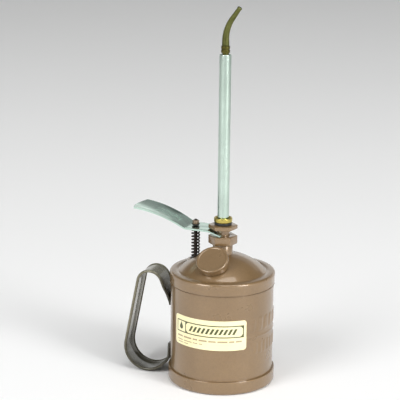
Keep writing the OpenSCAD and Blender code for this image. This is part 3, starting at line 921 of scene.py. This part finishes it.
def lever_line():
    """Top line of the lever from fork tip to thumb end, as (x, z, slope)."""
    slope, end_slope = radians(26.8), radians(2.7)
    ramp, heel_r, pad_r = 3.4, 5.0, 94.0
    fork, bend, tip = radians(17), 1.9, 1.2
    x1, z1 = PIVOT_X + bend * sin(fork), LEVER_TOP - bend * (1 - cos(fork))
    line = []
    for i in range(8):
        x = tip + (x1 - tip) * i / 8
        line.append((x, z1 - (x - x1) * tan(fork), -fork))
    for i in range(7):
        a = fork * (1 - i / 6)
        line.append((PIVOT_X + bend * sin(a), LEVER_TOP - bend * (1 - cos(a)), -a))
    for i in range(1, 15):
        line.append((PIVOT_X + (HEEL_X - PIVOT_X) * i / 14, LEVER_TOP, 0.0))
    for i in range(1, 9):
        a = slope * i / 8
        line.append((HEEL_X - heel_r * sin(a), LEVER_TOP + heel_r * (1 - cos(a)), a))
    x, z = line[-1][0] - ramp * cos(slope), line[-1][1] + ramp * sin(slope)
    for i in range(61):
        a = slope + (end_slope - slope) * i / 60
        line.append((x - pad_r * (sin(slope) - sin(a)), z + pad_r * (cos(a) - cos(slope)), a))
    return line


def lever_top(line, x, across):
    """Point on the lever's upper face: x along it, and across from -1 to 1
    from edge to edge. Gives the point and the slope there."""
    corner_x = line[-1][0] + PAD_BOW
    share = max(0.0, min(1.0, (HEEL_X - x) / (HEEL_X - corner_x)))
    half = (LEVER_W + (PAD_W - LEVER_W) * share) / 2
    middle_share = 1 - across * across
    bow_x = x - PAD_BOW * middle_share * smoothstep(-corner_x - 20, -corner_x, -x)
    z, slope = line[-1][1:]
    for (xa, za, aa), (xb, zb, ab) in zip(line, line[1:]):
        if xb <= bow_x <= xa:
            t = (xa - bow_x) / (xa - xb)
            z, slope = za + (zb - za) * t, aa + (ab - aa) * t
            break
    dish = PAD_DISH * middle_share * smoothstep(26, 42, -bow_x)
    return Vector((bow_x, across * half, z - dish)), slope


def make_lever():
    """Bent plate with a forked end, a slot for the rod and a pipped pad."""
    line, cols = lever_line(), 28
    corner_x = line[-1][0] + PAD_BOW
    stations = [p[0] for p in line if p[0] > corner_x + 0.2] + [corner_x]
    points, faces = [], []
    for layer in (0, 1):
        for x in stations:
            for j in range(cols + 1):
                p, a = lever_top(line, x, -1 + 2 * j / cols)
                points.append(p - layer * LEVER_T * Vector((sin(a), 0, cos(a))))
    n, m = len(stations), cols + 1
    size = n * m
    for i in range(n - 1):
        for j in range(cols):
            p = i * m + j
            faces.append((p, p + 1, p + m + 1, p + m))
            faces.append((size + p, size + p + m, size + p + m + 1, size + p + 1))
    for i in range(n - 1):
        for j in (0, cols):
            p = i * m + j
            faces.append((p, p + m, size + p + m, size + p))
    for i in (0, n - 1):
        for j in range(cols):
            p = i * m + j
            faces.append((p, p + 1, size + p + 1, size + p))
    obj = new_mesh("thumb_lever", points, faces)

    gap_r, gap_end, slot_r, slot_half = 5.6, 12, 1.6, 0.9
    below, above = 90, 140
    gap = arc(gap_r, 90, 180, 32) + [(gap_end, -gap_r), (gap_end, gap_r)]
    slot = arc(slot_r, -90, 180, 12, (slot_half, 0)) + arc(slot_r, 90, 180, 12, (-slot_half, 0))
    cut(obj, prism("fork", gap, below, above),
        prism("slot", slot, below, above, 0.0, (ROD_X, 0)))
    bevel(obj, 0.22, 2, 50)

    pips = []
    pip_r, pip_h, sunk = 0.5, 0.28, 0.2
    first_x, rows, pitch, spread = -33.5, 11, 1.75, 1.15
    pip = [(0, -sunk), (pip_r, -sunk), (pip_r * 0.8, pip_h * 0.65),
           (pip_r * 0.4, pip_h * 0.9), (0, pip_h)]
    for i in range(rows):
        lanes = 6 if i % 2 else 5
        for j in range(lanes):
            across = (j - (lanes - 1) / 2) * pitch * spread / (PAD_W / 2)
            base, a = lever_top(line, first_x - i * pitch, across)
            place = Matrix.Translation(base) @ Matrix.Rotation(a, 4, "Y")
            pips.append(lathe("pip", pip, 12, place))
    grip = join("grip_pips", pips)
    finish_piece(obj, "lever", "zinc_plate", "lever", material=LEVER_ZINC)
    finish_piece(grip, "lever", "zinc_plate", material=LEVER_ZINC)


# ---------------------------------------------------------------- spout


def make_spout():
    """Washer, brass collar, plated tube, ferrule and nozzle."""
    z0, z1 = low("spout_washer").z, high("spout_washer").z
    r = high("spout_washer").x
    outline = [(NIPPLE_R, z0), (r, z0), (r, z1), (NIPPLE_R, z1)]
    washer = lathe("head_washer", fillet(outline, [0, 0.5, 0.5, 0], 5), 96)
    finish_piece(washer, "can", "black_fibre", "spout_washer")

    c0, c1 = low("spout_collar").z, high("spout_collar").z
    collar_r, tube_r = high("spout_collar").x, high("spout_tube").x
    t0, t1 = low("spout_tube").z, high("spout_tube").z
    bore, shoulder = NIPPLE_R + 0.05, c1 - 1.0
    outline = [(bore, c0), (collar_r, c0), (collar_r, c1), (tube_r + 1.15, c1),
               (tube_r + 0.85, shoulder), (tube_r, shoulder), (tube_r, t0), (bore, t0)]
    collar = lathe("coupling_ring", fillet(outline, [0, 0.7, 0.9, 0.45, 0.2, 0, 0, 0], 6), 128)
    finish_piece(collar, "spout", "brass_bright", "spout_collar")

    plug_r, bore = 2.4, 3.4
    outline = [(bore, t0), (tube_r, t0), (tube_r, t1), (plug_r, t1), (plug_r, t1 - 1),
               (bore, t1 - 1)]
    tube = lathe("spout_pipe", fillet(outline, [0, 0, 0.9, 0.2, 0, 0], 7), 96)
    finish_piece(tube, "spout", "zinc_plate", "spout_tube", material=TUBE_ZINC)

    foot, f1 = low("tip_ferrule").z, high("tip_ferrule").z
    f0, ferrule_r = f1 - 4.9, high("tip_ferrule").x
    groove_r, bore, outlet = ferrule_r - 0.3, 1.2, 0.8
    outline = [(bore, foot), (plug_r, foot), (plug_r, f0), (ferrule_r, f0),
               (ferrule_r, f0 + 1.9), (groove_r, f0 + 2.2), (groove_r, f0 + 2.6),
               (ferrule_r, f0 + 2.9), (ferrule_r, f1), (outlet, f1), (outlet, f0), (bore, f0)]
    sizes = [0, 0, 0, 0.45, 0.25, 0.1, 0.1, 0.25, 0.5, 0, 0, 0]
    ferrule = lathe("nozzle_ferrule", fillet(outline, sizes, 4), 80)
    finish_piece(ferrule, "spout", "brass_bright", "tip_ferrule", material=BRASS_DARK)
    make_nozzle(f1)


def make_nozzle(z0):
    """Tapered, bent nozzle standing on height z0, with eased ends."""
    bend, bend_r, straight, tail = radians(35), 26.0, 4.0, 10.0
    r0, r1, bore = 2.65, 1.5, 0.8
    arc = bend_r * bend
    total = straight + arc + tail
    steps, sides = 60, 40
    points, faces = [], []
    stations = [total * i / steps for i in range(steps + 1)]
    edge_length = 0.25
    stations = [0.0, edge_length] + stations[1:-1] + [total - edge_length, total]

    def radius(s):
        r = r0 + (r1 - r0) * s / total
        lip = 0.18 * smoothstep(total - 1.6, total - 1.2, s)
        edge = 0.22 * (1 - smoothstep(0, edge_length, min(s, total - s)))
        return r + lip - edge

    for inner in (False, True):
        for s in stations:
            a = max(0.0, min(bend, (s - straight) / bend_r))
            past = max(0.0, s - straight - arc)
            c = Vector((bend_r * (1 - cos(a)) + past * sin(a), 0,
                        z0 + min(s, straight) + bend_r * sin(a) + past * cos(a)))
            u, v = Vector((cos(a), 0, -sin(a))), Vector((0, 1, 0))
            r = bore if inner else radius(s)
            points += [c + u * x + v * y for x, y in circle(r, sides)]
    n = len(stations)
    for layer in (0, 1):
        for i in range(n - 1):
            for j in range(sides):
                k = (j + 1) % sides
                b = layer * n * sides
                faces.append((b + i * sides + j, b + i * sides + k, b + (i + 1) * sides + k,
                              b + (i + 1) * sides + j))
    for i in (0, n - 1):
        for j in range(sides):
            k = (j + 1) % sides
            faces.append((i * sides + j, i * sides + k, (n + i) * sides + k, (n + i) * sides + j))
    obj = new_mesh("nozzle", points, faces)
    finish_piece(obj, "spout", "brass_dull", "spout_tip")


# ---------------------------------------------------------------- the rest


def paint_frame_nodes():
    """Gives every CAD node still shown the finish of its slot."""
    slots = {s["node"]: s["material_slot"] for s in frame["record"]["subparts"]}
    for name, obj in frame["nodes"].items():
        obj.data.materials.clear()
        obj.data.materials.append(MATERIALS[slots[name]])


def make_collar():
    """Dark domed washer under the rod's nut."""
    z1, r = high("rod_collar").z, width("rod_collar") / 2
    dome, z0, steps = 4.5, 113.08, 8
    outline = [(ROD_R, z1), (ROD_R, z0 + dome - sqrt(dome ** 2 - ROD_R ** 2))]
    for k in range(1, steps + 1):
        x = ROD_R + (r - ROD_R) * k / steps
        outline.append((x, z0 + dome - sqrt(dome ** 2 - x ** 2)))
    outline.append((r, z1))
    sizes = [0] * (len(outline) - 1) + [0.15]
    obj = lathe("rod_washer", fillet(outline, sizes, 3), 64, Matrix.Translation((ROD_X, 0, 0)))
    finish_piece(obj, "plunger", "black_fibre", "rod_collar")


def make_floor():
    size = 9.0
    mesh = bpy.data.meshes.new("floor")
    corners = [(-size, -size, 0), (size, -size, 0), (size, size, 0), (-size, size, 0)]
    mesh.from_pydata(corners, [], [(0, 1, 2, 3)])
    obj = bpy.data.objects.new("floor", mesh)
    bpy.context.scene.collection.objects.link(obj)
    mesh.materials.append(floor_paint("pale_floor"))


def make_light(name, power, size, place, aim):
    data = bpy.data.lights.new(name, "AREA")
    data.energy = power
    data.shape = "RECTANGLE"
    data.size, data.size_y = size
    obj = bpy.data.objects.new(name, data)
    obj.location = place
    obj.rotation_euler = (Vector(aim) - Vector(place)).to_track_quat("-Z", "Y").to_euler()
    bpy.context.scene.collection.objects.link(obj)


def make_lights():
    aim = (0, 0, 0.1)
    make_light("key", 50.0, (1.4, 1.8), (-1.0, -2.4, 1.7), aim)
    make_light("fill", 60.0, (1.0, 2.0), (2.7, -0.9, 1.4), aim)
    make_light("top", 36.0, (2.0, 2.0), (1.0, -1.0, 2.9), aim)
    make_light("back", 3.2, (3.2, 1.2), (-0.6, 2.8, 1.4), aim)


def make_world():
    """White surround for the camera, with a darker band for reflections."""
    world = bpy.data.worlds.new("studio")
    bpy.context.scene.world = world
    world.use_nodes = True
    nodes, links = world.node_tree.nodes, world.node_tree.links
    nodes.clear()
    out = nodes.new("ShaderNodeOutputWorld")
    back = nodes.new("ShaderNodeBackground")
    where = nodes.new("ShaderNodeTexCoord")
    split = nodes.new("ShaderNodeSeparateXYZ")
    ramp = nodes.new("ShaderNodeValToRGB")
    stops = [(0.46, 0.95), (0.63, 1.00), (0.68, 0.12), (0.86, 0.12), (1.0, 0.45)]
    while len(ramp.color_ramp.elements) < len(stops):
        ramp.color_ramp.elements.new(0.5)
    for element, (position, grey) in zip(ramp.color_ramp.elements, stops):
        element.position = position
        element.color = (grey, grey * 1.01, grey, 1)
    half = nodes.new("ShaderNodeMapRange")
    half.inputs["From Min"].default_value = -1
    links.new(where.outputs["Generated"], split.inputs[0])
    links.new(split.outputs["Z"], half.inputs["Value"])
    links.new(half.outputs["Result"], ramp.inputs["Fac"])
    links.new(ramp.outputs["Color"], back.inputs["Color"])
    links.new(back.outputs["Background"], out.inputs["Surface"])
    back.inputs["Strength"].default_value = 0.88


def make_camera():
    """Camera at the photograph's angle: slightly above, 22 degrees round
    from -Y towards +X."""
    azimuth, reach, height = radians(22), 1.0, 0.3958
    pitch, yaw, roll = radians(14.66), radians(0.96), radians(-0.58)
    sensor, lens_over_width = 36.0, 1445 / 400
    up = Vector((0, 0, 1))
    ahead = Vector((-sin(azimuth), cos(azimuth), 0))
    right = Vector((cos(azimuth), sin(azimuth), 0))
    ahead, right = ahead * cos(yaw) - right * sin(yaw), right * cos(yaw) + ahead * sin(yaw)
    view = ahead * cos(pitch) - up * sin(pitch)
    over = ahead * sin(pitch) + up * cos(pitch)
    right, over = right * cos(roll) - over * sin(roll), over * cos(roll) + right * sin(roll)
    data = bpy.data.cameras.new("camera")
    data.sensor_width = sensor
    data.lens = sensor * lens_over_width
    data.clip_start, data.clip_end = 0.05, 30
    obj = bpy.data.objects.new("camera", data)
    place = Matrix.Translation((reach * sin(azimuth), -reach * cos(azimuth), height))
    obj.matrix_world = place @ Matrix((right, over, -view)).transposed().to_4x4()
    bpy.context.scene.collection.objects.link(obj)
    bpy.context.scene.camera = obj


make_camera()
paint_frame_nodes()
make_base()
make_wall()
make_top()
make_label()
make_handle()
make_cap()
make_stem()
make_hex("lower_nut", "lower_hex_nut", "enamel", HEX_FLATS, NECK_R, round_edge=0.45)
make_hex("upper_flange", "upper_hex_flange", "enamel", HEX_FLATS, NECK_R, round_edge=0.3)
make_hex("rod_top_nut", "rod_nut", "nut_bronze", 4.3, ROD_R, round_edge=0.12,
         centre=(ROD_X, 0), body="plunger", chamfer=0.5)
make_collar()
make_rod()
make_spring("lever_spring", "return_spring", ROD_X, wire=0.55, turns=9.5)
make_spring("outlet_valve_spring", "outlet_spring", 0.0, wire=0.2, turns=5)
make_lever()
make_spout()
make_floor()
make_lights()
make_world()
bpy.context.scene.view_settings.view_transform = "Standard"
